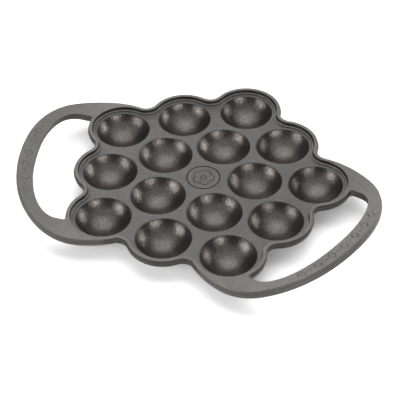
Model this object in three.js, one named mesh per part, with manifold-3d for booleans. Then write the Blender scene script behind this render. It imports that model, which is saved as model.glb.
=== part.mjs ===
// Cast-iron poffertjes pan: fifteen round wells in a five-fold pattern, a raised scalloped border
// and two looped side handles that tilt up. Millimetres, +Z up, the pan stands on its wells.
import * as THREE from 'three';
import { mergeVertices } from 'three/addons/utils/BufferGeometryUtils.js';
import Module from 'manifold-3d';

const wasm = await Module();
wasm.setup();
const { Manifold, Mesh: Solid } = wasm;

// Wells
const mouthRadius = 22.5;
const wellDepth = 15;
const lipRound = 1.5;
const wellWeb = 5;              // iron between two neighbouring mouths
const wellFloor = 3.5;          // iron under the deepest point
const footRadius = 6;           // flat pad under each well
const cupSpace = 1;             // air between two neighbouring cups, under the deck

// Deck and border
const deckThickness = 4;
const deckRound = 3.4;          // round under the deck's outer edge
const borderLand = 3.9;         // deck left between a mouth and the border
const borderWidth = 3;
const borderHeight = 3.8;
const borderRound = 0.9;
const notchRadius = 10;         // hollow between two scallops, on the outside

// Centre field
const medallionLand = 6.7;        // deck left between a mouth and the ring groove
const ringGroove = 0.8;
const medallionThickness = 1.2;

// Handles, in plan from the pan's edge outwards
const fingerGap = 30.7;
const gapStraight = 3.5;        // the gap keeps its full length this far past the pan's edge
const barWidth = 13.5;          // at the widest, halfway down its walls
const rootWidth = 19.4;
const shoulderRise = 2.7;       // how far the shoulder stands proud of the corner scallop
const shoulderOut = 13.5;       // the loop is longest this far past the corner wells' middles
const shoulderRun = 80;         // half length of the oval that leads the shoulder back
const handleThickness = 6.6;
const handleRound = 1.5;        // how far the rounded walls draw in above and below the middle
const partingLand = 0.7;        // upright strip left along the middle of the walls
const bendAhead = 12;           // the bend starts this far before the corner scallops end
const bendLength = 29;
const tiltShare = 0.32;         // rise of the handle over its run
const loopPowerShare = 2.15;    // roundness of the loop's outer line
const gapPowerShare = 2.15;     // roundness of the loop's inner line
const ovalPowerShare = 2;       // a true oval

const seam = 0.3;               // air kept where curved walls meet
const overrun = 5;              // how far a cutter passes the face it cuts

// Fineness of the curves
const aroundWell = 24;
const arcStep = THREE.MathUtils.degToRad(16);
const bowSteps = 24;
const zoneSteps = 2;
const shellSteps = 3;
const hollowSteps = 4;
const roundSteps = 2;
const bendSteps = 6;
const weldDistance = 1e-4;

// The pattern: five wells touch a pentagon round the centre, and ten more stand outside them.
const fifth = (2 * Math.PI) / 5;
const pitch = 2 * mouthRadius + wellWeb;
const innerReach = pitch / (2 * Math.sin(fifth / 2));
const cornerReach = innerReach + pitch;
const sideReach = innerReach * Math.cos(fifth / 2) + pitch * Math.sin(Math.PI / 3);
const backwards = Math.PI / 2;

const polar = (reach, angle) => new THREE.Vector2(reach * Math.cos(angle), reach * Math.sin(angle));
const centre = new THREE.Vector2(0, 0);
const innerWells = [...Array(5).keys()].map((i) => polar(innerReach, backwards + i * fifth));
const outerWells = [...Array(10).keys()].map((i) =>
  polar(i % 2 === 0 ? cornerReach : sideReach, backwards + (i * fifth) / 2));
const wells = [...innerWells, ...outerWells];

// The hollow of a well is part of a ball, and a small round joins it to the deck.
const ballRadius = (mouthRadius ** 2 + wellDepth ** 2) / (2 * wellDepth);
const ballHeight = ballRadius - wellDepth;
const lipReach = Math.sqrt((ballRadius + lipRound) ** 2 - (ballHeight + lipRound) ** 2);
const lipAngle = Math.atan2(lipReach, ballHeight + lipRound);
const throatAngle = Math.acos((ballHeight + deckThickness) / ballRadius);
const cupTopRadius = mouthRadius + wellWeb / 2 - cupSpace / 2;
const footHeight = -(wellDepth + wellFloor);

const medallionRadius = innerReach - mouthRadius - medallionLand;
const seatRadius = medallionRadius + ringGroove;
const borderInner = mouthRadius + borderLand;
const borderOuter = borderInner + borderWidth;
const notchReach = borderOuter + notchRadius;
const cutterReach = cornerReach + borderOuter + overrun;

// Handle frame: "out" runs along the normal of one side of the pentagon, "along" beside it.
const edgeOut = sideReach + borderOuter;
const cornerOut = cornerReach * Math.cos(fifth / 2);
const cornerAlong = cornerReach * Math.sin(fifth / 2);
const longestOut = cornerOut + shoulderOut;
const bendStart = cornerOut + borderOuter - bendAhead;
const loopReach = edgeOut + fingerGap + barWidth;
const loopHalf = cornerAlong + borderOuter + shoulderRise;
const gapHalf = cornerAlong + borderOuter - rootWidth;
const sideNormal = backwards + 1.5 * fifth;

const iron = {
  deck: [0x6a6865, 0.55],
  border: [0x706e6b, 0.5],
  cup: [0x3f3b38, 0.5],
  centre: [0x6d6b68, 0.55],
  handle: [0x797673, 0.52],
};

function ironMaterial(kind) {
  const [color, roughness] = iron[kind];
  return new THREE.MeshStandardMaterial({ color, roughness, metalness: 0.75 });
}

// Points along an arc, ends included, with about one point per arcStep.
function arcPoints(middle, radius, from, to) {
  const steps = Math.max(2, Math.ceil(Math.abs(to - from) / arcStep));
  return [...Array(steps + 1).keys()].map((i) => {
    const angle = from + ((to - from) * i) / steps;
    return polar(radius, angle).add(middle);
  });
}

const circlePoints = (radius) =>
  [...Array(aroundWell).keys()].map((i) => polar(radius, (2 * Math.PI * i) / aroundWell));

// Centre of the notch between two scallops: equally far from both wells, on the outer side.
function notchCentre(a, b) {
  const middle = a.clone().add(b).multiplyScalar(0.5);
  const half = a.distanceTo(b) / 2;
  const outward = new THREE.Vector2(b.y - a.y, a.x - b.x).normalize();
  return middle.add(outward.multiplyScalar(Math.sqrt(notchReach ** 2 - half ** 2)));
}

const turnTo = (from, to) => Math.atan2(to.y - from.y, to.x - from.x);
const ahead = (angle, start) => (angle < start ? angle + 2 * Math.PI : angle);

// Outline that follows the ten outer wells at one radius, with rounded notches between them.
function scallopOutline(radius) {
  const notches = outerWells.map((well, i) => notchCentre(well, outerWells[(i + 1) % 10]));
  const points = [];
  outerWells.forEach((well, i) => {
    const next = outerWells[(i + 1) % 10];
    const start = turnTo(well, notches[(i + 9) % 10]);
    points.push(...arcPoints(well, radius, start, ahead(turnTo(well, notches[i]), start)));
    const leave = turnTo(notches[i], next);
    const enter = ahead(turnTo(notches[i], well), leave);
    points.push(...arcPoints(notches[i], notchReach - radius, enter, leave).slice(1, -1));
  });
  return points;
}

// Bow with flattened sides, from one end of its half length round the front to the other end.
function bowPoints(reach, half, powerShare) {
  const soften = (value) => Math.sign(value) * Math.abs(value) ** (2 / powerShare);
  return [...Array(bowSteps + 1).keys()].map((i) => {
    const angle = Math.PI * (i / bowSteps - 0.5);
    const out = i % bowSteps === 0 ? 0 : reach * soften(Math.cos(angle));
    return new THREE.Vector2(out, half * soften(Math.sin(angle)));
  });
}

// Outer line of a handle: a bow in front and half an oval that sinks into the scallops.
function loopOutline() {
  const front = bowPoints(loopReach - longestOut, loopHalf, loopPowerShare);
  const back = bowPoints(shoulderRun, loopHalf, ovalPowerShare).slice(1, -1);
  const closed = [...front, ...back.map((point) => point.negate())];
  return closed.map((point) => point.add(new THREE.Vector2(longestOut, 0)));
}

// The finger gap: a bow in front and straight sides that run back into the body.
function gapOutline() {
  const front = bowPoints(fingerGap - gapStraight, gapHalf, gapPowerShare);
  const moved = front.map((point) => point.add(new THREE.Vector2(edgeOut + gapStraight, 0)));
  return [new THREE.Vector2(cornerOut, -gapHalf), ...moved, new THREE.Vector2(cornerOut, gapHalf)];
}

function toSolid(geometry) {
  const plain = new THREE.BufferGeometry();
  plain.setAttribute('position', geometry.getAttribute('position').clone());
  if (geometry.index) plain.setIndex(geometry.index.clone());
  const welded = mergeVertices(plain, weldDistance);
  const vertProperties = welded.getAttribute('position').array;
  const triVerts = Uint32Array.from(welded.index.array);
  return new Manifold(new Solid({ numProp: 3, vertProperties, triVerts }));
}

function toGeometry(solid) {
  const mesh = solid.getMesh();
  const geometry = new THREE.BufferGeometry();
  geometry.setAttribute('position', new THREE.BufferAttribute(mesh.vertProperties, 3));
  geometry.setIndex(new THREE.BufferAttribute(mesh.triVerts, 1));
  geometry.computeVertexNormals();
  return geometry;
}

// Plate between two heights. With a round, both of its rims draw in by that much over its rise.
function plate(outline, holes, low, high, round = 0, rise = round, steps = roundSteps) {
  const shape = new THREE.Shape(outline);
  shape.holes = holes.map((hole) => new THREE.Path(hole));
  const geometry = new THREE.ExtrudeGeometry(shape, {
    depth: high - low - 2 * rise,
    bevelEnabled: round > 0,
    bevelThickness: rise,
    bevelSize: round,
    bevelOffset: -round,
    bevelSegments: steps,
  });
  return geometry.translate(0, 0, low + rise);
}

// Round body on a profile of (radius, height) points, turned so that its axis stands up.
function turned(profile) {
  const points = profile.map(([radius, height]) => new THREE.Vector2(radius, height));
  return new THREE.LatheGeometry(points, aroundWell).rotateX(Math.PI / 2);
}

// Points along an arc in a profile; the angle is measured from straight down.
function profileArc(centreRadius, centreHeight, radius, from, to, steps) {
  return [...Array(steps + 1).keys()].map((i) => {
    const angle = from + ((to - from) * i) / steps;
    return [centreRadius + radius * Math.sin(angle), centreHeight - radius * Math.cos(angle)];
  });
}

// What a well takes out of the deck: a zone of the ball and the round at its lip.
function wellCutter() {
  return turned([
    [0, -deckThickness - overrun],
    [ballRadius * Math.sin(throatAngle), -deckThickness - overrun],
    ...profileArc(0, ballHeight, ballRadius, throatAngle, lipAngle, zoneSteps).slice(0, -1),
    ...profileArc(lipReach, -lipRound, lipRound, lipAngle - Math.PI, -Math.PI, roundSteps),
    [lipReach, overrun],
    [0, overrun],
  ]);
}

// The deck is rounded under its outer edge. The upper round of the plate is cut away.
function deckPlate() {
  const round = Math.min(deckRound, deckThickness);
  const high = deckThickness + round;
  const whole = plate(scallopOutline(borderOuter), [], -deckThickness, high, round, round, shellSteps);
  const above = plate(circlePoints(cutterReach), [], 0, high + overrun);
  let deck = toSolid(whole).subtract(toSolid(above));
  for (const well of wells) {
    deck = deck.subtract(toSolid(wellCutter().translate(well.x, well.y, 0)));
  }
  const seat = plate(circlePoints(seatRadius), [], -medallionThickness, overrun);
  return toGeometry(deck.subtract(toSolid(seat)));
}

// The border stands on the deck. Its lower rounds are made below the deck and cut away.
function rimBorder() {
  const holes = [scallopOutline(borderInner)];
  const outline = scallopOutline(borderOuter);
  const border = toSolid(plate(outline, holes, -borderHeight, borderHeight, borderRound));
  const below = plate(circlePoints(cutterReach), [], -borderHeight - overrun, 0);
  return toGeometry(border.subtract(toSolid(below)));
}

// Shell under one well. Its flat top meets the underside of the deck and its flat foot stands.
function wellCup() {
  const top = -deckThickness;
  const squares = footRadius ** 2 + footHeight ** 2 - cupTopRadius ** 2 - top ** 2;
  const outerHeight = squares / (2 * (footHeight - top));
  const outerRadius = Math.hypot(cupTopRadius, top - outerHeight);
  const footAngle = Math.atan2(footRadius, outerHeight - footHeight);
  const topAngle = Math.atan2(cupTopRadius, outerHeight - top);
  return turned([
    [0, footHeight],
    ...profileArc(0, outerHeight, outerRadius, footAngle, topAngle, shellSteps),
    ...profileArc(0, ballHeight, ballRadius, throatAngle, 0, hollowSteps),
  ]);
}

function medallion() {
  return plate(circlePoints(medallionRadius), [], -medallionThickness, 0);
}

// Cuts every triangle that crosses the plane at one distance out, so that a bend can start there.
function splitAt(geometry, out) {
  const vertices = [];
  const position = geometry.getAttribute('position');
  for (let i = 0; i < position.count; i += 1) {
    vertices.push(new THREE.Vector3().fromBufferAttribute(position, i));
  }
  const made = new Map();
  const cut = (a, b) => {
    const key = `${Math.min(a, b)} ${Math.max(a, b)}`;
    if (!made.has(key)) {
      const share = (out - vertices[a].x) / (vertices[b].x - vertices[a].x);
      made.set(key, vertices.push(vertices[a].clone().lerp(vertices[b], share)) - 1);
    }
    return made.get(key);
  };
  const faces = [];
  const old = geometry.index.array;
  for (let i = 0; i < old.length; i += 3) {
    const corners = [old[i], old[i + 1], old[i + 2]];
    const beyond = corners.map((corner) => vertices[corner].x > out);
    const count = beyond.filter(Boolean).length;
    if (count === 0 || count === 3) {
      faces.push(...corners);
    } else {
      const lone = beyond.indexOf(count === 1);
      const [a, b, c] = [0, 1, 2].map((step) => corners[(lone + step) % 3]);
      const [ab, ca] = [cut(a, b), cut(c, a)];
      faces.push(a, ab, ca, ab, b, c, ab, c, ca);
    }
  }
  const result = new THREE.BufferGeometry().setFromPoints(vertices);
  result.setIndex(faces);
  return result;
}

// Bends a flat handle up in small steps. Its walls stay square to its top face.
function bendUp(flat) {
  const planes = [...Array(bendSteps + 1).keys()].map((i) =>
    bendStart + (bendLength * i) / bendSteps);
  const bent = planes.reduce(splitAt, flat);
  const position = bent.getAttribute('position');
  for (let i = 0; i < position.count; i += 1) {
    const out = position.getX(i);
    const under = borderHeight - position.getZ(i);
    const run = planes.reduce((sum, plane) => sum + Math.max(0, out - plane), 0) / planes.length;
    const bentShare = THREE.MathUtils.clamp((out - bendStart) / bendLength, 0, 1);
    const tilt = Math.atan(tiltShare * bentShare);
    position.setX(i, out + under * Math.sin(tilt));
    position.setZ(i, borderHeight + tiltShare * run - under * Math.cos(tilt));
  }
  bent.computeVertexNormals();
  return bent;
}

// One handle with its root webs, "out" along +X. The body is cut away with a seam between.
function handle() {
  const underside = borderHeight - handleThickness;
  const rise = (handleThickness - partingLand) / 2;
  const hole = [gapOutline()];
  const bar = plate(loopOutline(), hole, underside, borderHeight, handleRound, rise, shellSteps);
  const outline = scallopOutline(borderOuter + seam);
  const body = outline.map((point) => point.rotateAround(centre, -sideNormal));
  const cutter = plate(body, [], -handleThickness - overrun, borderHeight + overrun);
  return bendUp(toGeometry(toSolid(bar).subtract(toSolid(cutter))));
}

const pan = new THREE.Group();

function addIron(name, kind, geometry) {
  const mesh = new THREE.Mesh(geometry, ironMaterial(kind));
  mesh.name = name;
  pan.add(mesh);
  return mesh;
}

addIron('deck_plate', 'deck', deckPlate());
addIron('rim_border', 'border', rimBorder());
addIron('center_medallion', 'centre', medallion());
addIron('handle_left', 'handle', handle()).rotation.z = sideNormal;
addIron('handle_right', 'handle', handle()).rotation.z = 2 * backwards - sideNormal;
wells.forEach((well, i) => {
  const name = `well_cup_${String(i + 1).padStart(2, '0')}`;
  addIron(name, 'cup', wellCup()).position.set(well.x, well.y, 0);
});

// The origin lies under the middle of the pan, on the surface that it stands on.
const box = new THREE.Box3().setFromObject(pan, true);
const middle = box.getCenter(new THREE.Vector3());
pan.position.set(-middle.x, -middle.y, -box.min.z);

const part = new THREE.Group();
part.add(pan);

export default part;
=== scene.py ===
"""Looks of a cast-iron poffertjes pan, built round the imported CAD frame."""
import math

import bpy
import numpy as np
from mathutils import Matrix, Vector
from mathutils.geometry import delaunay_2d_cdt


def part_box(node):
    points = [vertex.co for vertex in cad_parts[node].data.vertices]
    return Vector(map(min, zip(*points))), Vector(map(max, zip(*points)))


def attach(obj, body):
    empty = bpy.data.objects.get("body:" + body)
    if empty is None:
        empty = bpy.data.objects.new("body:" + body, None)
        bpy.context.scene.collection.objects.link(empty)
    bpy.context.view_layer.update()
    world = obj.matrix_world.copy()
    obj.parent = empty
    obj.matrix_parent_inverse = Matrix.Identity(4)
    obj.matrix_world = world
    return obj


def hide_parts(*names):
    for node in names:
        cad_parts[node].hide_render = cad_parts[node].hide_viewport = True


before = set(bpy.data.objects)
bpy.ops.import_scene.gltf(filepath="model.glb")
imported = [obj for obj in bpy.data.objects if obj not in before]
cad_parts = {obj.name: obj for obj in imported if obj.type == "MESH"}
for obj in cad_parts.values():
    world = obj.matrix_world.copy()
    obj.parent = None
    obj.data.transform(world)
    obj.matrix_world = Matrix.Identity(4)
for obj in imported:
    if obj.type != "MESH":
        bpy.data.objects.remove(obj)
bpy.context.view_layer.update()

# Sizes that the solids have too, in millimetres from the middle of the deck's top face

# Wells: radius of the mouth, web between two mouths, depth and round of the lip
MOUTH, WEB, WELL_DEPTH, LIP = 22.5, 5.0, 15.0, 1.5
# Shells of the wells: wall at the bottom, radius of the foot and space between two shells
FLOOR, FOOT, CUP_SPACE = 3.5, 6.0, 1.0
# Deck's thickness, land from a mouth to the border, width and height of that, and round of its
# notches between two wells
DECK, LAND, BORDER, HEIGHT, NOTCH = 4.0, 3.9, 3.0, 3.8, 10.0
# Centre field: radius, width of the groove round it and depth of its seat
MEDALLION, GROOVE, SEAT = 13.334, 0.8, 1.2
# Finger gap: reach from the body, straight start and power of its curve
GAP, STRAIGHT, GAP_POWER = 30.7, 3.5, 2.15
# Bar: width at its middle, width of a root, thickness and power of its outer curve
BAR, ROOT, THICK, LOOP_POWER = 13.5, 19.4, 6.6, 2.15
# Shoulders: width past the corner wells' border, run back to the body, and place of the widest
# point past these wells
SHOULDER_RISE, SHOULDER_RUN, SHOULDER_OUT = 2.7, 80.0, 13.5
ELLIPSE = 2.0                    # power of the shoulders' curve
# Bend of the handles: its length, how far inside the border it starts, and the slope after it
BEND, BEND_AHEAD, SLOPE = 29.0, 12.0, 0.32

FIFTH = 2 * math.pi / 5
PITCH = 2 * MOUTH + WEB
INNER_REACH = PITCH / (2 * math.sin(FIFTH / 2))
CORNER_REACH = INNER_REACH + PITCH
SIDE_REACH = INNER_REACH * math.cos(FIFTH / 2) + PITCH * math.sin(math.pi / 3)
BALL = (MOUTH ** 2 + WELL_DEPTH ** 2) / (2 * WELL_DEPTH)
BALL_UP = BALL - WELL_DEPTH
LIP_REACH = math.sqrt((BALL + LIP) ** 2 - (BALL_UP + LIP) ** 2)
LIP_ANGLE = math.atan2(LIP_REACH, BALL_UP + LIP)
THROAT_ANGLE = math.acos((BALL_UP + DECK) / BALL)
THROAT = BALL * math.sin(THROAT_ANGLE)
CUP_TOP = MOUTH + WEB / 2 - CUP_SPACE / 2
INNER = MOUTH + LAND
OUTER = INNER + BORDER
NOTCH_REACH = OUTER + NOTCH
EDGE_OUT = SIDE_REACH + OUTER
CORNER_OUT = CORNER_REACH * math.cos(FIFTH / 2)
CORNER_ALONG = CORNER_REACH * math.sin(FIFTH / 2)
BEND_START = CORNER_OUT + OUTER - BEND_AHEAD
SIDE_NORMAL = math.pi / 2 + 1.5 * FIFTH
UNDERSIDE = HEIGHT - THICK

# Sizes of the fine shapes that the solids leave out

WALL = OUTER + 0.25              # reach of the body's outer wall just under its top round
FLARE, WAIST = 0.2, 0.25         # how much further it reaches at the parting line and at the deck
PARTING, RIDGE = 1.0, 0.45       # height of the parting line over the deck, and radius of its ridge
RIDGE_ANGLE = 1.3                # half the arc of the ridge
EDGE_ROUND, UNDER_ROUND = 0.8, 3.3
EDGE_END = 0.25                  # angle at which the top round runs into the flared wall
LEDGE, STEP = 1.5, 0.6           # width and height of the low step at the border's inner foot
STEP_FILLET, STEP_ROUND = 1.3, 0.15
LEAN, CROWN = 0.1, 0.45          # lean of the border's inner wall, and the round over it
RISE_FROM, RISE_TO = 48.0, 64.0  # distances along a side between which the border rises to a root
FIELD_ROUND, SEAT_ROUND = 0.35, 0.35
GROOVE_DEPTH, UNDERLAP = 0.6, 0.2  # the groove's floor runs on under the centre field
FILLET = 2.5                     # round in plan between the finger gap and the body
DRAFT, TOP_ROUND, FOOT_ROUND = 0.35, 0.7, 0.8
ROOT_INSET, ROOT_END = 0.02, 3.0  # hidden ends lie inside the top round; gap lines run on past them
ROOT_REACH = WALL - EDGE_ROUND - ROOT_INSET

# Centre pattern: reach and radius of the lobes, reach at which they start, and radius of the ring
LOBE_REACH, LOBE, LOBE_FROM, SMALL_RING = 4.9, 4.2, 6.6, 2.3
STROKE, STROKE_DEPTH, NO_STROKE = 0.75, 0.5, 9  # half a line's width, its depth, and far off it
# Handle pattern: count and pitch of the marks, their depth and half the width of their field
BEADS, BEAD_PITCH, BEAD_DEPTH, BEAD_FIELD = 13, 7.2, 0.45, 4.4
DOT, LOZENGE_WIDE, LOZENGE_LONG = 1.4, 3.3, 2.9
DOT_EDGE, OUTLINE_WIDTH, MARK_POWER = 1.25, 0.25, 1.3
# Distances over which the slopes of the two patterns are taken
CENTRE_NEAR, HANDLE_NEAR = 0.02, 0.03

# Steps of the meshes
AROUND = 96                      # steps round a full circle
SCALLOP_TURN = math.radians(3)
BOW_STEPS, GAP_STEPS, FILLET_POINTS, LEAD_POINTS, LOOP_POINTS = 300, 200, 24, 8, 320
FIELD_STEP, COARSE_STEP, FINE_STEP = 0.24, 2.0, 0.45
ROW = 0.866                      # distance of the rows in a grid of triangles
WELD_GRID = 2e6                  # corners are welded on this many places per metre
SAME_POINT, TINY = 1e-7, 1e-12

# Where the middle of the deck's top face lies in the row frame
deck_low, deck_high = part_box("deck_plate")
ORIGIN = np.array([(deck_low.x + deck_high.x) / 2,
                   deck_high.y - (CORNER_REACH + OUTER) / 1000,
                   deck_high.z])


def to_frame(points):
    return np.asarray(points, float) / 1000 + ORIGIN


def polar(reach, angle):
    return np.array([reach * math.cos(angle), reach * math.sin(angle)])


def smooth(t):
    """A share from 0 to 1 with soft ends."""
    return t * t * (3 - 2 * t)


OUTER_WELLS = [polar(SIDE_REACH if i % 2 else CORNER_REACH, math.pi / 2 + i * FIFTH / 2)
               for i in range(10)]
WELLS = [polar(INNER_REACH, math.pi / 2 + i * FIFTH) for i in range(5)] + OUTER_WELLS


# Mesh building

def quads(grid):
    """Corners [face, 4, 3] of a [row, column, 3] grid."""
    corners = [grid[:-1, :-1], grid[:-1, 1:], grid[1:, 1:], grid[1:, :-1]]
    return np.stack(corners, 2).reshape(-1, 4, 3)


class Shell:
    """Faces with their own corner normals, welded into one mesh."""

    def __init__(self):
        self.parts = []

    def add(self, points, normals, slot=0):
        """points and normals are [face, corner, 3]."""
        self.parts.append((points, normals, slot))

    def welded(self):
        """Vertices, and sets of faces: their vertex numbers, corner normals and slot."""
        placed = to_frame(np.concatenate([points.reshape(-1, 3) for points, _, _ in self.parts]))
        keys = np.round(placed * WELD_GRID).astype(np.int64)
        _, first, index = np.unique(keys, axis=0, return_index=True, return_inverse=True)
        verts, index = placed[first], index.ravel()
        at, faces = 0, []
        for points, normal, slot in self.parts:
            count, corners = points.shape[:2]
            ids = index[at:at + count * corners].reshape(count, corners)
            at += count * corners
            co = verts[ids]
            face_normal = np.cross(co, np.roll(co, -1, 1)).sum(1)
            flip = (face_normal * normal.sum(1)).sum(1) < 0
            ids[flip] = ids[flip, ::-1]
            normal = normal.copy()
            normal[flip] = normal[flip, ::-1]
            same = ids == np.roll(ids, -1, 1)
            whole = ~same.any(1)
            faces.append((ids[whole], normal[whole], slot))
            if corners == 3:
                continue
            for i in np.nonzero(same.sum(1) == 1)[0]:
                keep = ~same[i]
                if len(set(ids[i][keep])) == 3:
                    faces.append((ids[i][keep][None], normal[i][keep][None], slot))
        return verts, faces

    def build(self, name, materials):
        """The welded mesh as an object in the scene."""
        verts, faces = self.welded()
        sizes = np.concatenate([np.full(len(ids), ids.shape[1]) for ids, _, _ in faces])
        slots = np.concatenate([np.full(len(ids), slot) for ids, _, slot in faces])
        loops = np.concatenate([ids.ravel() for ids, _, _ in faces])
        normals = np.concatenate([normal.reshape(-1, 3) for _, normal, _ in faces])
        normals /= np.maximum(np.linalg.norm(normals, axis=1), TINY)[:, None]
        mesh = bpy.data.meshes.new(name)
        mesh.vertices.add(len(verts))
        mesh.vertices.foreach_set("co", verts.astype(np.float32).ravel())
        mesh.loops.add(len(loops))
        mesh.loops.foreach_set("vertex_index", loops.astype(np.int32))
        mesh.polygons.add(len(sizes))
        mesh.polygons.foreach_set("loop_start", (np.cumsum(sizes) - sizes).astype(np.int32))
        mesh.polygons.foreach_set("material_index", slots.astype(np.int32))
        mesh.update(calc_edges=True)
        mesh.polygons.foreach_set("use_smooth", np.ones(len(sizes), bool))
        mesh.normals_split_custom_set(normals.tolist())
        for material in materials:
            mesh.materials.append(material)
        piece = bpy.data.objects.new(name, mesh)
        bpy.context.scene.collection.objects.link(piece)
        return piece


def arc(radius, height, size, start, end, steps, inward=False):
    """Profile rows (radius, height, radial normal, upward normal) on an arc.
    Angles start at the outward side; inward turns the normals to the arc's middle."""
    a = np.linspace(start, end, steps + 1)
    sign = -1 if inward else 1
    return np.stack([radius + size * np.cos(a), height + size * np.sin(a),
                     sign * np.cos(a), sign * np.sin(a)], 1)


def line(r0, z0, r1, z1, steps=1, side=1):
    """Profile rows on a straight line.
    The normal lies on the right-hand side of the walk, or on the left with side -1."""
    t = np.linspace(0, 1, steps + 1)
    length = math.hypot(r1 - r0, z1 - z0)
    nr, nz = side * (z1 - z0) / length, -side * (r1 - r0) / length
    return np.stack([r0 + t * (r1 - r0), z0 + t * (z1 - z0),
                     np.full(len(t), nr), np.full(len(t), nz)], 1)


def downward(rows):
    """The same rows with normals that point straight down."""
    rows[:, 2:] = [0, -1]
    return rows


def sweep(shell, rows, base, rays, slot=0):
    """Adds profile rows along an outline of base points and rays."""
    rows = np.repeat(np.asarray(rows)[:, None], len(base), 1)
    xy = base[None] + rows[..., :1] * rays[None]
    points = np.concatenate([xy, rows[..., 1:2]], 2)
    normals = np.concatenate([rows[..., 2:3] * rays[None], rows[..., 3:4]], 2)
    shell.add(quads(points), quads(normals), slot)


CIRCLE_TURNS = np.linspace(0, 2 * math.pi, AROUND + 1)[:-1]
CIRCLE_RAYS = np.stack([np.cos(CIRCLE_TURNS), np.sin(CIRCLE_TURNS)], 1)


def lathe(shell, rows, middle=(0, 0), slot=0):
    """Adds profile rows round an upright axis."""
    rays = np.concatenate([CIRCLE_RAYS, CIRCLE_RAYS[:1]])
    sweep(shell, rows, np.repeat(np.asarray(middle, float)[None], len(rays), 0), rays, slot)


def circle(radius, middle=(0, 0)):
    return np.asarray(middle) + radius * CIRCLE_RAYS


def inside(points, outline):
    """Which points lie inside a closed outline."""
    x, y = points[:, 0][:, None], points[:, 1][:, None]
    x0, y0 = outline[:, 0][None], outline[:, 1][None]
    x1, y1 = np.roll(outline[:, 0], -1)[None], np.roll(outline[:, 1], -1)[None]
    cross = (y0 > y) != (y1 > y)
    with np.errstate(divide="ignore", invalid="ignore"):
        at = x0 + (y - y0) * (x1 - x0) / (y1 - y0)
    return (cross & (x < at)).sum(1) % 2 == 1


def fill(loops, extra=()):
    """Triangles [n, 3, 2] of the region inside an odd number of the closed loops."""
    points, edges = [], []
    for loop in loops:
        n = len(points)
        points += [Vector(p) for p in loop]
        edges += [(n + i, n + (i + 1) % len(loop)) for i in range(len(loop))]
    points += [Vector(p) for p in extra]
    co, _, faces, *_ = delaunay_2d_cdt(points, edges, [], 0, SAME_POINT)
    tris = np.array([tuple(c) for c in co])[np.array(faces)]
    middle = tris.mean(1)
    count = sum(inside(middle, np.asarray(loop)).astype(int) for loop in loops)
    return tris[count % 2 == 1]


def flat(tris, height, up):
    """Points and normals of triangles at one height that face up (1) or down (-1)."""
    points = np.concatenate([tris, np.full(tris.shape[:2] + (1,), height)], 2)
    normals = np.zeros_like(points)
    normals[..., 2] = up
    return points, normals


def slopes(relief, x, y, h):
    """Normals [face, corner, 3] of a relief, from its differences over a distance h."""
    return np.stack([-(relief(x + h, y) - relief(x - h, y)) / (2 * h),
                     -(relief(x, y + h) - relief(x, y - h)) / (2 * h),
                     np.ones_like(x)], 2)


# Scalloped outline: at radius r it is base + r * ray

def turn(a, b):
    return math.atan2(b[1] - a[1], b[0] - a[0])


def ahead(angle, start):
    return angle + 2 * math.pi if angle < start else angle


def turns(start, end, step):
    return np.linspace(start, end, math.ceil(abs(end - start) / step) + 1)


def notch_middle(a, b):
    """Middle of the round between the scallops of wells a and b."""
    half = np.linalg.norm(b - a) / 2
    outward = np.array([b[1] - a[1], a[0] - b[0]]) / (2 * half)
    return (a + b) / 2 + outward * math.sqrt(NOTCH_REACH ** 2 - half ** 2)


def scallop_rays():
    base, rays = [], []
    next_wells = OUTER_WELLS[1:] + OUTER_WELLS[:1]
    notches = [notch_middle(a, b) for a, b in zip(OUTER_WELLS, next_wells)]
    for i, (well, after, notch) in enumerate(zip(OUTER_WELLS, next_wells, notches)):
        start = turn(well, notches[i - 1])
        for a in turns(start, ahead(turn(well, notch), start), SCALLOP_TURN):
            base.append(well)
            rays.append(polar(1, a))
        leave = turn(notch, after)
        for a in turns(ahead(turn(notch, well), leave), leave, 2 * SCALLOP_TURN)[1:-1]:
            base.append(notch + polar(NOTCH_REACH, a))
            rays.append(-polar(1, a))
    base.append(base[0])
    rays.append(rays[0])
    return np.array(base), np.array(rays)


BASE, RAYS = scallop_rays()


def scallop(radius):
    return (BASE + radius * RAYS)[:-1]


# Handle lines, "out" along +X

def bow(reach, half, power, steps):
    """Half of a rounded box, from front to back round its outer side."""
    t = np.linspace(-math.pi / 2, math.pi / 2, steps + 1)
    c, s = np.cos(t).clip(0), np.sin(t)
    return np.stack([reach * c ** (2 / power), half * np.sign(s) * np.abs(s) ** (2 / power)], 1)


def plan_normals(points):
    d = np.gradient(points, axis=0)
    d /= np.linalg.norm(d, axis=1)[:, None]
    return np.stack([d[:, 1], -d[:, 0]], 1)


def loop_line(grow):
    """Outer line, grown by an offset, from the middle of the body round and back to it."""
    half = CORNER_ALONG + OUTER + SHOULDER_RISE
    widest = CORNER_OUT + SHOULDER_OUT
    outer = bow(EDGE_OUT + GAP + BAR - widest, half, LOOP_POWER, BOW_STEPS)
    inner = bow(SHOULDER_RUN, half, ELLIPSE, BOW_STEPS) * [-1, 1]
    middle = BOW_STEPS // 2
    curve = np.concatenate([inner[middle:0:-1], outer, inner[-2:middle - 1:-1]]) + [widest, 0]
    return curve + grow * plan_normals(curve)


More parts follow.
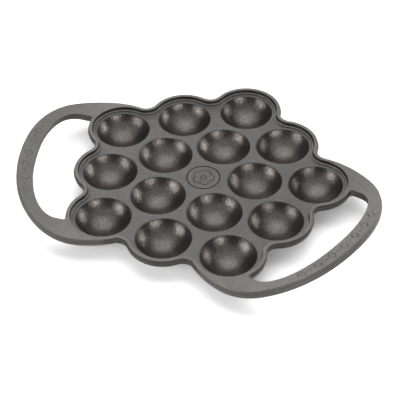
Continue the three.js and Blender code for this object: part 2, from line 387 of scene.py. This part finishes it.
def gap_line(grow, wall):
    """Line of the finger gap, grown by an offset, with fillets on to the body's wall."""
    half = CORNER_ALONG + OUTER - ROOT
    front = bow(GAP - STRAIGHT, half, GAP_POWER, GAP_STEPS) + [EDGE_OUT + STRAIGHT, 0]
    front = front + grow * plan_normals(front)
    aside = half + grow - CORNER_ALONG - FILLET
    ahead_of = math.sqrt((wall + FILLET) ** 2 - aside ** 2)
    corner = np.array([CORNER_OUT, CORNER_ALONG])
    middle = corner + [ahead_of, aside]
    a = np.linspace(math.pi / 2, math.pi + math.atan2(aside, ahead_of), FILLET_POINTS)
    fillet = middle + FILLET * np.stack([np.cos(a), np.sin(a)], 1)
    lead = np.linspace(front[-1], fillet[0], LEAD_POINTS)[1:-1]
    hidden = corner + (middle - corner) / (wall + FILLET) * (ROOT_REACH - ROOT_END)
    high = np.concatenate([lead, fillet, [hidden]])
    return np.concatenate([high[::-1] * [1, -1], front, high])


def spaced(points, count):
    """The same polyline with count points at even distances."""
    run = np.concatenate([[0], np.cumsum(np.linalg.norm(np.diff(points, axis=0), axis=1))])
    at = np.linspace(0, run[-1], count)
    return np.stack([np.interp(at, run, points[:, k]) for k in (0, 1)], 1)


def crossing(p, q, outline):
    """Where the segment p to q crosses the closed outline: the point, and its place on that."""
    a, b = outline, np.roll(outline, -1, 0)
    d, e = q - p, b - a
    den = d[0] * e[:, 1] - d[1] * e[:, 0]
    with np.errstate(divide="ignore", invalid="ignore"):
        t = ((a[:, 0] - p[0]) * e[:, 1] - (a[:, 1] - p[1]) * e[:, 0]) / den
        u = ((a[:, 0] - p[0]) * d[1] - (a[:, 1] - p[1]) * d[0]) / den
    k = np.nonzero((t >= 0) & (t <= 1) & (u >= 0) & (u <= 1))[0][0]
    return p + t[k] * d, k + u[k]


def trimmed(curve, outline):
    """The part of a curve outside the outline, with its ends on it and their places along it."""
    out = np.nonzero(~inside(curve, outline))[0]
    first, last = out[0], out[-1]
    start, s = crossing(curve[first - 1], curve[first], outline)
    end, e = crossing(curve[last], curve[last + 1], outline)
    return np.concatenate([[start], curve[first:last + 1], [end]]), s, e


def rise(out):
    """How high a handle's top face lies over the border's, and its slope."""
    u = out - BEND_START
    height = np.where(u < BEND, np.clip(u, 0, BEND) ** 2 / (2 * BEND), u - BEND / 2)
    return SLOPE * height, SLOPE * np.clip(u / BEND, 0, 1)


def beside_roots(points, normals):
    """Lifts the border beside the roots, so that its top runs on into the handles' tops."""
    points, normals = points.copy(), normals.copy()
    for angle in (SIDE_NORMAL, math.pi - SIDE_NORMAL):
        axis = polar(1, angle)
        along = np.abs(points[..., 1] * axis[0] - points[..., 0] * axis[1])
        share = smooth(np.clip((along - RISE_FROM) / (RISE_TO - RISE_FROM), 0, 1))
        share = share * np.clip(points[..., 2] / HEIGHT, 0, 1)
        height, slope = rise(points[..., :2] @ axis)
        normals[..., :2] -= (slope * share * normals[..., 2])[..., None] * axis
        points[..., 2] += height * share
    return points, normals


def bent(points, normals):
    """A flat handle's points and normals after the bend; its walls stay square to its top."""
    height, slope = rise(points[..., 0])
    tilt = np.arctan(slope)
    c, s = np.cos(tilt), np.sin(tilt)
    under = HEIGHT - points[..., 2]
    across, up = normals[..., 0], normals[..., 2]
    points, normals = points.copy(), normals.copy()
    points[..., 0] += under * s
    points[..., 2] = HEIGHT + height - under * c
    normals[..., 0], normals[..., 2] = across * c - up * s, across * s + up * c
    return points, normals


# Materials

METALLIC, SPECULAR = 0.85, 0.5
# Noises: scale, detail and roughness
BLOTCH, PEBBLE, SPECKLE = (70, 3, 0.6), (560, 3, 0.6), (2400, 2, 0.5)
NOISE_LOW, NOISE_HIGH = 0.3, 0.7         # the part of a noise's range that is used
PEBBLE_SHARE, BLOTCH_SHARE = 0.65, 0.35  # of the way from the dark to the light colour
ROUGH_SPREAD = 0.05
PEBBLE_HIGH, SPECKLE_HIGH = 0.0006, 0.0002
UPRIGHT, LEVEL = 0.5, 0.96               # upward part of the normal of such faces; the painted shade on walls fades out between them


def new_material(name):
    material = bpy.data.materials.new(name)
    material.use_nodes = True
    return material, material.node_tree


def put(tree, socket, value):
    """Links a socket to another one, or sets it to a number."""
    if isinstance(value, bpy.types.NodeSocket):
        tree.links.new(value, socket)
    else:
        socket.default_value = value


def calculated(tree, kind, operation, *values):
    """Node that calculates with sockets or numbers."""
    node = tree.nodes.new(kind)
    node.operation = operation
    for socket, value in zip(node.inputs, values):
        put(tree, socket, value)
    return node


def maths(tree, operation, *values):
    return calculated(tree, "ShaderNodeMath", operation, *values).outputs[0]


def mapped(tree, value, source, target, interpolation="LINEAR"):
    """A value carried over from the source range to the target range."""
    node = tree.nodes.new("ShaderNodeMapRange")
    node.interpolation_type = interpolation
    for end, low_high in (("From", source), ("To", target)):
        for limit, number in zip(("Min", "Max"), low_high):
            node.inputs[f"{end} {limit}"].default_value = number
    tree.links.new(value, node.inputs["Value"])
    return node.outputs["Result"]


def noise(tree, vector, size, detail, rough_share):
    node = tree.nodes.new("ShaderNodeTexNoise")
    node.inputs["Scale"].default_value = size
    node.inputs["Detail"].default_value = detail
    node.inputs["Roughness"].default_value = rough_share
    tree.links.new(vector, node.inputs["Vector"])
    return node.outputs["Fac"]


def bump(tree, height, strength, distance, before=None):
    node = tree.nodes.new("ShaderNodeBump")
    node.inputs["Strength"].default_value = strength
    node.inputs["Distance"].default_value = distance
    tree.links.new(height, node.inputs["Height"])
    if before is not None:
        tree.links.new(before, node.inputs["Normal"])
    return node.outputs["Normal"]


def iron(name, dark, light, rough, pebbles, speckles, side=1.0):
    """Cast iron with a seasoned skin: blotches, a pebbly casting grain and fine speckle.
    side is the share of the colour kept on upright faces: painted shade that darkens the walls."""
    material, tree = new_material(name)
    shader = tree.nodes["Principled BSDF"]
    shader.inputs["Metallic"].default_value = METALLIC
    shader.inputs["Specular IOR Level"].default_value = SPECULAR
    place = tree.nodes.new("ShaderNodeTexCoord")
    blotch, pebble, speckle = [noise(tree, place.outputs["Object"], *sizes)
                               for sizes in (BLOTCH, PEBBLE, SPECKLE)]
    used = (NOISE_LOW, NOISE_HIGH)
    mix = tree.nodes.new("ShaderNodeMix")
    mix.data_type = "RGBA"
    mix.inputs[6].default_value, mix.inputs[7].default_value = (*dark, 1), (*light, 1)
    share = maths(tree, "MULTIPLY_ADD", mapped(tree, pebble, used, (0, 1)), PEBBLE_SHARE,
                  mapped(tree, blotch, used, (0, BLOTCH_SHARE)))
    tree.links.new(share, mix.inputs[0])
    colour = mix.outputs[2]
    # Painted shade: the colour is scaled down on upright faces, darkest on the walls
    if side < 1:
        parts = tree.nodes.new("ShaderNodeSeparateXYZ")
        tree.links.new(place.outputs["Normal"], parts.inputs[0])
        upward = maths(tree, "ABSOLUTE", parts.outputs["Z"])
        shaded = calculated(tree, "ShaderNodeVectorMath", "SCALE", colour)
        put(tree, shaded.inputs["Scale"], mapped(tree, upward, (UPRIGHT, LEVEL), (side, 1.0)))
        colour = shaded.outputs[0]
    tree.links.new(colour, shader.inputs["Base Color"])
    roughness = mapped(tree, speckle, used, (rough - ROUGH_SPREAD, rough + ROUGH_SPREAD))
    tree.links.new(roughness, shader.inputs["Roughness"])
    grain = bump(tree, pebble, pebbles, PEBBLE_HIGH)
    tree.links.new(bump(tree, speckle, speckles, SPECKLE_HIGH, grain), shader.inputs["Normal"])
    return material


# The side values darken each piece's walls as painted shade; the wells get none
IRON_PLAIN = iron("iron_plain", (0.076, 0.074, 0.072), (0.119, 0.116, 0.112),
                  rough=0.5, pebbles=0.25, speckles=0.15, side=0.45)
IRON_TOP = iron("iron_top", (0.101, 0.097, 0.093), (0.160, 0.153, 0.146),
                rough=0.52, pebbles=0.3, speckles=0.2, side=0.36)
IRON_HANDLE = iron("iron_handle", (0.101, 0.097, 0.093), (0.156, 0.149, 0.143),
                   rough=0.5, pebbles=0.3, speckles=0.2, side=0.68)
IRON_WELL = iron("iron_well", (0.052, 0.047, 0.044), (0.126, 0.116, 0.109),
                 rough=0.3, pebbles=0.44, speckles=0.1)
PLAIN, WELL = 0, 1               # material slots of a piece


# Pieces

def finish_piece(shell, node, plain=IRON_PLAIN):
    piece = shell.build("looks_" + node, [plain, IRON_WELL])
    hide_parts(node)
    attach(piece, "root")


def border_wall():
    """Rows of the border's outer wall, from the edge of its top face down to the deck."""
    bulge = WALL + FLARE
    return np.concatenate([
        arc(WALL - EDGE_ROUND, HEIGHT - EDGE_ROUND, EDGE_ROUND, math.pi / 2, EDGE_END, 6),
        line(WALL, HEIGHT - EDGE_ROUND, bulge, PARTING + RIDGE, side=-1),
        arc(bulge, PARTING, RIDGE, RIDGE_ANGLE, -RIDGE_ANGLE, 6),
        line(bulge, PARTING - RIDGE, WALL + WAIST, 0, side=-1),
    ])


def deck_wall():
    """Rows of the deck's outer wall, down to the edge of its underside."""
    shoulder = UNDER_ROUND - DECK
    reach = WALL + WAIST / 2
    return np.concatenate([
        line(WALL + WAIST, 0, reach, shoulder, side=-1),
        arc(reach - UNDER_ROUND, shoulder, UNDER_ROUND, 0, -math.pi / 2, 8)[1:],
    ])


def wall_at(height):
    """Reach of the body's free wall at a height."""
    rows = np.concatenate([border_wall(), deck_wall()])[::-1]
    return np.interp(height, rows[:, 1], rows[:, 0])


def deck():
    shell = Shell()
    seat, under = MEDALLION + GROOVE, MEDALLION - UNDERLAP
    holes = [circle(LIP_REACH, well) for well in WELLS] + [circle(seat + SEAT_ROUND)]
    shell.add(*flat(fill([scallop(WALL + WAIST)] + holes), 0, 1))
    zone = arc(LIP_REACH, -LIP, LIP, math.pi / 2, math.pi / 2 + LIP_ANGLE, 8)
    ball = arc(0, BALL_UP, BALL, LIP_ANGLE - math.pi / 2, THROAT_ANGLE - math.pi / 2, 6,
               inward=True)
    for well in WELLS:
        lathe(shell, zone, well, PLAIN)
        lathe(shell, ball, well, WELL)
    # Seat of the centre field
    lathe(shell, arc(seat + SEAT_ROUND, -SEAT_ROUND, SEAT_ROUND, math.pi / 2, math.pi, 4))
    lathe(shell, line(seat, -SEAT_ROUND, seat, -GROOVE_DEPTH))
    lathe(shell, line(seat, -GROOVE_DEPTH, under, -GROOVE_DEPTH, side=-1))
    lathe(shell, line(under, -GROOVE_DEPTH, under, -SEAT))
    shell.add(*flat(fill([circle(under)]), -SEAT, 1))
    # Outer wall and underside
    sweep(shell, deck_wall(), BASE, RAYS)
    throats = [circle(THROAT, well) for well in WELLS]
    bottom = fill([scallop(WALL + WAIST / 2 - UNDER_ROUND)] + throats)
    shell.add(*flat(bottom, -DECK, -1))
    finish_piece(shell, "deck_plate")


def border():
    shell = Shell()
    ledge_in, top_in = INNER - LEDGE, INNER + LEAN + CROWN
    sweep(shell, np.concatenate([
        line(ledge_in, 0, ledge_in, STEP - STEP_ROUND, side=-1),
        arc(ledge_in + STEP_ROUND, STEP - STEP_ROUND, STEP_ROUND, math.pi, math.pi / 2, 3)[1:],
        arc(INNER - STEP_FILLET, STEP + STEP_FILLET, STEP_FILLET, -math.pi / 2, 0, 5,
            inward=True),
        line(INNER, STEP + STEP_FILLET, INNER + LEAN, HEIGHT - CROWN, side=-1),
        arc(top_in, HEIGHT - CROWN, CROWN, math.pi, math.pi / 2, 6)[1:],
        line(top_in, HEIGHT, WALL - EDGE_ROUND, HEIGHT, side=-1),
        border_wall(),
        downward(line(WALL + WAIST, 0, ledge_in, 0)),
    ]), BASE, RAYS)
    shell.parts = [(*beside_roots(points, normals), slot) for points, normals, slot in shell.parts]
    finish_piece(shell, "rim_border", IRON_TOP)


def cup(number, well):
    shell = Shell()
    top, foot = -DECK, -(WELL_DEPTH + FLOOR)
    hollow = arc(0, BALL_UP, BALL, THROAT_ANGLE - math.pi / 2, -math.pi / 2, 20, inward=True)
    hollow[-1] = [0, BALL_UP - BALL, 0, 1]
    lathe(shell, hollow, well, WELL)
    middle = (FOOT ** 2 + foot ** 2 - CUP_TOP ** 2 - top ** 2) / (2 * (foot - top))
    radius = math.hypot(CUP_TOP, top - middle)
    low = math.asin(FOOT / radius) - math.pi / 2
    high = math.atan2(top - middle, CUP_TOP)
    lathe(shell, line(THROAT, top, CUP_TOP, top, side=-1), well, PLAIN)
    lathe(shell, arc(0, middle, radius, high, low, 16), well, PLAIN)
    lathe(shell, downward(line(FOOT, foot, 0, foot, 2)), well, PLAIN)
    finish_piece(shell, f"well_cup_{number:02d}")


def engraving(x, y):
    """Height of the centre's plain five-lobed line and the small ring inside it."""
    turn_share = (np.arctan2(y, x) - math.pi / 2) / FIFTH
    nearest = np.round(turn_share) * FIFTH + math.pi / 2
    dx, dy = x - LOBE_REACH * np.cos(nearest), y - LOBE_REACH * np.sin(nearest)
    reach = np.hypot(x, y)
    lobe = np.where(reach > LOBE_FROM, np.abs(np.hypot(dx, dy) - LOBE), NO_STROKE)
    near = np.minimum(lobe, np.abs(reach - SMALL_RING))
    return -STROKE_DEPTH * smooth(np.clip(1 - near / STROKE, 0, 1))


def medallion():
    shell = Shell()
    inner = MEDALLION - FIELD_ROUND
    lathe(shell, np.concatenate([
        arc(inner, -FIELD_ROUND, FIELD_ROUND, math.pi / 2, 0, 4),
        line(MEDALLION, -FIELD_ROUND, MEDALLION, -SEAT, side=-1)[1:],
    ]))
    n = int(inner / FIELD_STEP)
    i, j = np.meshgrid(np.arange(-n, n + 1), np.arange(-n, n + 1))
    x, y = (i + 0.5 * (j % 2)) * FIELD_STEP, j * FIELD_STEP * ROW
    clear_of_edge = 0.15
    keep = np.hypot(x, y) < inner - clear_of_edge
    points, _ = flat(fill([circle(inner)], np.stack([x[keep], y[keep]], 1)), 0, 1)
    x, y = points[..., 0], points[..., 1]
    points[..., 2] = engraving(x, y)
    shell.add(points, slopes(engraving, x, y, CENTRE_NEAR))
    shell.add(*flat(fill([circle(MEDALLION)]), -SEAT, -1))
    finish_piece(shell, "center_medallion")


# Handles

def bar_middle(y):
    """How far out the middle of the bar's top face lies."""
    loop, gap = loop_line(0), gap_line(0, WALL)
    front = [curve[curve[:, 0] > EDGE_OUT + STRAIGHT] for curve in (loop, gap)]
    return sum(np.interp(y, curve[:, 1], curve[:, 0]) for curve in front) / 2


def handle_relief(x, y):
    """Height of the engraved row along the bar: lozenge outlines with dots between them."""
    k = np.round(y / BEAD_PITCH)
    on = np.abs(k) <= (BEADS - 1) / 2
    small = k % 2 != 0
    u = (x - bar_middle(y)) / np.where(small, DOT, LOZENGE_WIDE)
    v = (y - k * BEAD_PITCH) / np.where(small, DOT, LOZENGE_LONG)
    reach = np.abs(u) ** MARK_POWER + np.abs(v) ** MARK_POWER
    mark = np.where(small, DOT_EDGE - reach, 1 - np.abs(reach - 1) / OUTLINE_WIDTH)
    return np.where(on, -BEAD_DEPTH * smooth(np.clip(mark, 0, 1)), 0)


def bar_wall():
    """Rows of the bar's wall from top to bottom; the reach is counted from the parting line."""
    middle = HEIGHT - THICK / 2
    foot = UNDERSIDE + FOOT_ROUND
    return np.concatenate([
        arc(-DRAFT - TOP_ROUND, HEIGHT - TOP_ROUND, TOP_ROUND, math.pi / 2, 0, 6),
        line(-DRAFT, HEIGHT - TOP_ROUND, -RIDGE, middle + RIDGE, side=-1),
        arc(-RIDGE, middle, RIDGE, RIDGE_ANGLE, -RIDGE_ANGLE, 6),
        line(-RIDGE, middle - RIDGE, -DRAFT, foot, side=-1),
        arc(-DRAFT - FOOT_ROUND, foot, FOOT_ROUND, 0, -math.pi / 2, 7)[1:],
    ])


def root_outline(height):
    """The body's outline in the handle's frame, where the hidden ends of the roots lie.
    It shrinks by 1 mm from the bar's top to its underside."""
    c, s = math.cos(SIDE_NORMAL), math.sin(SIDE_NORMAL)
    return scallop(ROOT_REACH - (HEIGHT - height) / THICK) @ np.array([[c, -s], [s, c]])


def stretch(outline, a, b):
    """The outline's points between place a and place b, the short way."""
    n = len(outline)
    length = (b - a) % n
    if length > n / 2:
        return stretch(outline, b, a)[::-1]
    first = math.floor(a) + 1
    places = range(first, first + math.ceil(length))
    return outline[[k % n for k in places if k - a < length]]


def face_points(ring):
    """Points inside a face of the bar, close together where the lozenges stand."""
    clear_of_field, clear_of_edge = 0.6, 0.7
    low, high = ring.min(0), ring.max(0)
    x, y = np.meshgrid(np.arange(low[0], high[0], COARSE_STEP),
                       np.arange(low[1], high[1], COARSE_STEP * ROW))
    x = x + 0.5 * COARSE_STEP * (np.arange(len(x))[:, None] % 2)
    coarse = np.stack([x.ravel(), y.ravel()], 1)
    long = BEADS / 2 * BEAD_PITCH
    x, y = np.meshgrid(np.arange(low[0], high[0], FINE_STEP), np.arange(-long, long, FINE_STEP))
    fine = np.stack([x.ravel(), y.ravel()], 1)
    off_coarse, off_fine = [np.abs(grid[:, 0] - bar_middle(grid[:, 1])) for grid in (coarse, fine)]
    outside = ((off_coarse > BEAD_FIELD + clear_of_field)
               | (np.abs(coarse[:, 1]) > long + clear_of_field))
    points = np.concatenate([coarse[outside], fine[off_fine < BEAD_FIELD]])
    points = points[inside(points, ring)]
    clear = [np.linalg.norm(ring - point, axis=1).min() > clear_of_edge for point in points]
    return points[np.array(clear)]


def bar_face(outer, inner, height, up):
    """The bar's top (up 1) or bottom (up -1) between its outer and its inner line."""
    outline = root_outline(height)
    (outer, o0, o1), (inner, i0, i1) = outer, inner
    ring = np.concatenate([outer, stretch(outline, o1, i1), inner[::-1],
                           stretch(outline, i0, o0)])
    points, normals = flat(fill([ring], face_points(ring)), height, up)
    if up > 0:
        x, y = points[..., 0], points[..., 1]
        points[..., 2] += handle_relief(x, y)
        normals = slopes(handle_relief, x, y, HANDLE_NEAR)
    return points, normals


def root_end(loop_places, gap_places, heights):
    """The hidden end of a root: a face between the walls' ends.
    It is drawn in places along the outline, and heights."""
    n = len(BASE) - 1
    first = loop_places[0]
    a, b = [[(place - first + n / 2) % n - n / 2 for place in places]
            for places in (loop_places, gap_places)]

    def wholes(start, end):
        low, high = sorted((start + first, end + first))
        run = [k - first for k in range(math.floor(low) + 1, math.ceil(high))]
        return run if end > start else run[::-1]

    ring = [*zip(a[::-1], heights[::-1]), *[(k, heights[0]) for k in wholes(a[0], b[0])],
            *zip(b, heights), *[(k, heights[-1]) for k in wholes(b[-1], a[-1])]]
    tris = fill([np.array(ring)])
    place, height = (tris[..., 0] + first) % n, tris[..., 1]
    k = np.floor(place).astype(int)
    share = (place - k)[..., None]
    xy = np.empty(tris.shape[:2] + (2,))
    for i in np.ndindex(height.shape):
        outline = root_outline(height[i])
        xy[i] = outline[k[i] % n] * (1 - share[i]) + outline[(k[i] + 1) % n] * share[i]
    points = np.concatenate([xy, height[..., None]], 2)
    return points, np.concatenate([-xy, np.zeros(xy.shape[:2] + (1,))], 2)


def side_wall(curves, rows, side):
    """The wall along a bar's outer (side 1) or inner (side -1) line, a curve for each row."""
    xy = np.array(curves)
    plan = np.array([np.pad(plan_normals(curve[1:-1]) * side, ((1, 1), (0, 0)), "edge")
                     for curve in xy])
    z, across, up = [np.repeat(rows[:, k][:, None, None], xy.shape[1], 1) for k in (1, 2, 3)]
    return (quads(np.concatenate([xy, z], 2)),
            quads(np.concatenate([across * plan, up], 2)))


def handle_patches():
    """All faces of one handle in its own frame: walls, top, underside and hidden ends."""
    rows = bar_wall()
    heights = list(rows[:, 1])
    outlines = [root_outline(height) for height in heights]
    loop = [trimmed(loop_line(row[0]), outline) for row, outline in zip(rows, outlines)]
    loop = [(spaced(curve, LOOP_POINTS), start, end) for curve, start, end in loop]
    gap = [trimmed(gap_line(-row[0], wall_at(row[1])), outline)
           for row, outline in zip(rows, outlines)]
    patches = [side_wall([level[0] for level in levels], rows, side)
               for levels, side in ((loop, 1), (gap, -1))]
    patches.append(bar_face(loop[0], gap[0], HEIGHT, 1))
    patches.append(bar_face(loop[-1], gap[-1], UNDERSIDE, -1))
    for end in (1, 2):
        places = [[level[end] for level in levels] for levels in (loop, gap)]
        patches.append(root_end(*places, heights))
    return [bent(points, normals) for points, normals in patches]


def spun(points, angle):
    c, s = math.cos(angle), math.sin(angle)
    out = points.copy()
    out[..., 0] = c * points[..., 0] - s * points[..., 1]
    out[..., 1] = s * points[..., 0] + c * points[..., 1]
    return out


def handles():
    patches = handle_patches()
    for node, angle in (("handle_left", SIDE_NORMAL), ("handle_right", math.pi - SIDE_NORMAL)):
        shell = Shell()
        for points, normals in patches:
            shell.add(spun(points, angle), spun(normals, angle))
        finish_piece(shell, node, IRON_HANDLE)


deck()
border()
medallion()
handles()
for number, well in enumerate(WELLS, 1):
    cup(number, well)


# Stage: floor, flags, lamps and world, in metres

SPAN = 30.0                                 # half the floor
FLOOR_COLOUR, FLAG_COLOUR = (0.86, 0.86, 0.86, 1), (0.05, 0.05, 0.05, 1)
GLOW_FROM_TO, GLOWS = (0.35, 1.3), (0.08, 1.0)  # distances, and the floor's glow at these
RING, TALL, SIDES = 1.9, 1.5, 48            # dark flags that stand round the pan
FLAG_GAP, FLAG_ROUGH = 0.001, 0.9
LAMP_REACH, AIM_HEIGHT = 1.5, 0.02
WORLD_LIGHT, WORLD_SHOWN = 0.3, 1.0


def plain_object(name, verts, faces, material):
    mesh = bpy.data.meshes.new(name)
    mesh.from_pydata(verts, [], faces)
    mesh.materials.append(material)
    thing = bpy.data.objects.new(name, mesh)
    bpy.context.scene.collection.objects.link(thing)
    return thing


def shown_ray(tree):
    """1 for the rays that show the background: from the camera, off gloss and through glass."""
    rays = tree.nodes.new("ShaderNodeLightPath").outputs
    value = maths(tree, "MAXIMUM", rays["Is Camera Ray"], rays["Is Glossy Ray"])
    return maths(tree, "MAXIMUM", value, rays["Is Transmission Ray"])


def floor_material():
    material, tree = new_material("floor_pale")
    tree.nodes.clear()
    diffuse = tree.nodes.new("ShaderNodeBsdfDiffuse")
    diffuse.inputs["Color"].default_value = FLOOR_COLOUR
    place = tree.nodes.new("ShaderNodeTexCoord")
    length = calculated(tree, "ShaderNodeVectorMath", "LENGTH", place.outputs["Object"])
    far = mapped(tree, length.outputs["Value"], GLOW_FROM_TO, GLOWS, "SMOOTHSTEP")
    glow = tree.nodes.new("ShaderNodeEmission")
    tree.links.new(maths(tree, "MULTIPLY", far, shown_ray(tree)), glow.inputs["Strength"])
    both = tree.nodes.new("ShaderNodeAddShader")
    tree.links.new(diffuse.outputs[0], both.inputs[0])
    tree.links.new(glow.outputs[0], both.inputs[1])
    out = tree.nodes.new("ShaderNodeOutputMaterial")
    tree.links.new(both.outputs[0], out.inputs["Surface"])
    return material


def flag_material():
    material, tree = new_material("flag_cloth")
    shader = tree.nodes["Principled BSDF"]
    shader.inputs["Base Color"].default_value = FLAG_COLOUR
    shader.inputs["Roughness"].default_value = FLAG_ROUGH
    return material


floor_corners = [(-SPAN, -SPAN, 0), (SPAN, -SPAN, 0), (SPAN, SPAN, 0), (-SPAN, SPAN, 0)]
floor = plain_object("floor", floor_corners, [(0, 1, 2, 3)], floor_material())
flag_points = [(*polar(RING, 2 * math.pi * i / SIDES), z) for z in (FLAG_GAP, TALL)
               for i in range(SIDES)]
flag_faces = [(i, (i + 1) % SIDES, SIDES + (i + 1) % SIDES, SIDES + i) for i in range(SIDES)]
flags = plain_object("flag_ring", flag_points, flag_faces, flag_material())
flags.visible_camera = False
flags.visible_shadow = False


def softbox(name, azimuth, elevation, width, height, radiance):
    """A lamp that faces the pan; azimuth 0 is +Y and 90 is +X."""
    a, e = math.radians(azimuth), math.radians(elevation)
    toward = Vector((math.sin(a) * math.cos(e), math.cos(a) * math.cos(e), math.sin(e)))
    light = bpy.data.lights.new(name, "AREA")
    light.shape = "RECTANGLE"
    light.size, light.size_y = width, height
    light.energy = radiance * math.pi * width * height
    lamp = bpy.data.objects.new(name, light)
    lamp.location = toward * LAMP_REACH + Vector((0, 0, AIM_HEIGHT))
    lamp.rotation_euler = toward.to_track_quat("Z", "Y").to_euler()
    lamp.visible_camera = False
    bpy.context.scene.collection.objects.link(lamp)
    return lamp


def receivers(name, floor_state):
    """What a lamp lights: the floor alone (INCLUDE), or all but the floor (EXCLUDE)."""
    group = bpy.data.collections.new(name)
    group.objects.link(floor)
    group.collection_objects[0].light_linking.link_state = floor_state
    return group


# The overhead box lights everything. The low boxes light the pan alone, and the two floor lamps
# light the floor alone: the key gives the pan a close soft shadow, and the top lamp fills it.
floor_alone, floor_out = receivers("floor_alone", "INCLUDE"), receivers("floor_out", "EXCLUDE")
softbox("box_overhead", -27, 75, 1.45, 1.45, 1.8)
for name, azimuth, elevation, width, height, radiance, lit in (
        # Names, degrees, metres, radiance and what the lamp lights
        ("box_left_front", -135, 18, 0.85, 0.5, 8.6, floor_out),
        ("box_right_front", 126, 16, 0.65, 0.5, 8.8, floor_out),
        ("box_right_back", 47, 12, 0.75, 0.5, 11.5, floor_out),
        ("box_left_back", -38, 17, 0.8, 0.5, 4.0, floor_out),
        ("fill_back", -20, 19, 2.4, 0.8, 0.8, floor_out),
        ("floor_key", 175, 33, 2.6, 0.8, 4.7, floor_alone),
        ("floor_top", 0, 66, 2.4, 2.4, 1.75, floor_alone)):
    lamp = softbox(name, azimuth, elevation, width, height, radiance)
    lamp.light_linking.receiver_collection = lit

world = bpy.data.worlds.new("studio")
bpy.context.scene.world = world
world.use_nodes = True
world_tree = world.node_tree
background = world_tree.nodes["Background"]
shade = world_tree.nodes.new("ShaderNodeMix")
shade.data_type = "FLOAT"
shade.inputs[2].default_value, shade.inputs[3].default_value = WORLD_LIGHT, WORLD_SHOWN
world_tree.links.new(shown_ray(world_tree), shade.inputs[0])
world_tree.links.new(shade.outputs[0], background.inputs["Strength"])
background.inputs["Color"].default_value = (1, 1, 1, 1)

# Camera at the photograph's view: its axes, its place in millimetres and its lens
RIGHT = Vector((0.9134, 0.40694, -0.01023))
DOWN = Vector((0.2702, -0.62488, -0.73247))
FORWARD = Vector((-0.30447, 0.66627, -0.68072))
EYE = (331.428, -732.514, 721.566)
camera_data = bpy.data.cameras.new("camera")
camera_data.sensor_width = 36
camera_data.lens = 117.74
camera_data.clip_end = 100
camera = bpy.data.objects.new("camera", camera_data)
camera_turn = Matrix((RIGHT, -DOWN, -FORWARD)).transposed()
camera.matrix_world = Matrix.Translation(to_frame(EYE)) @ camera_turn.to_4x4()
bpy.context.scene.collection.objects.link(camera)
bpy.context.scene.camera = camera
bpy.context.scene.view_settings.view_transform = "Standard"
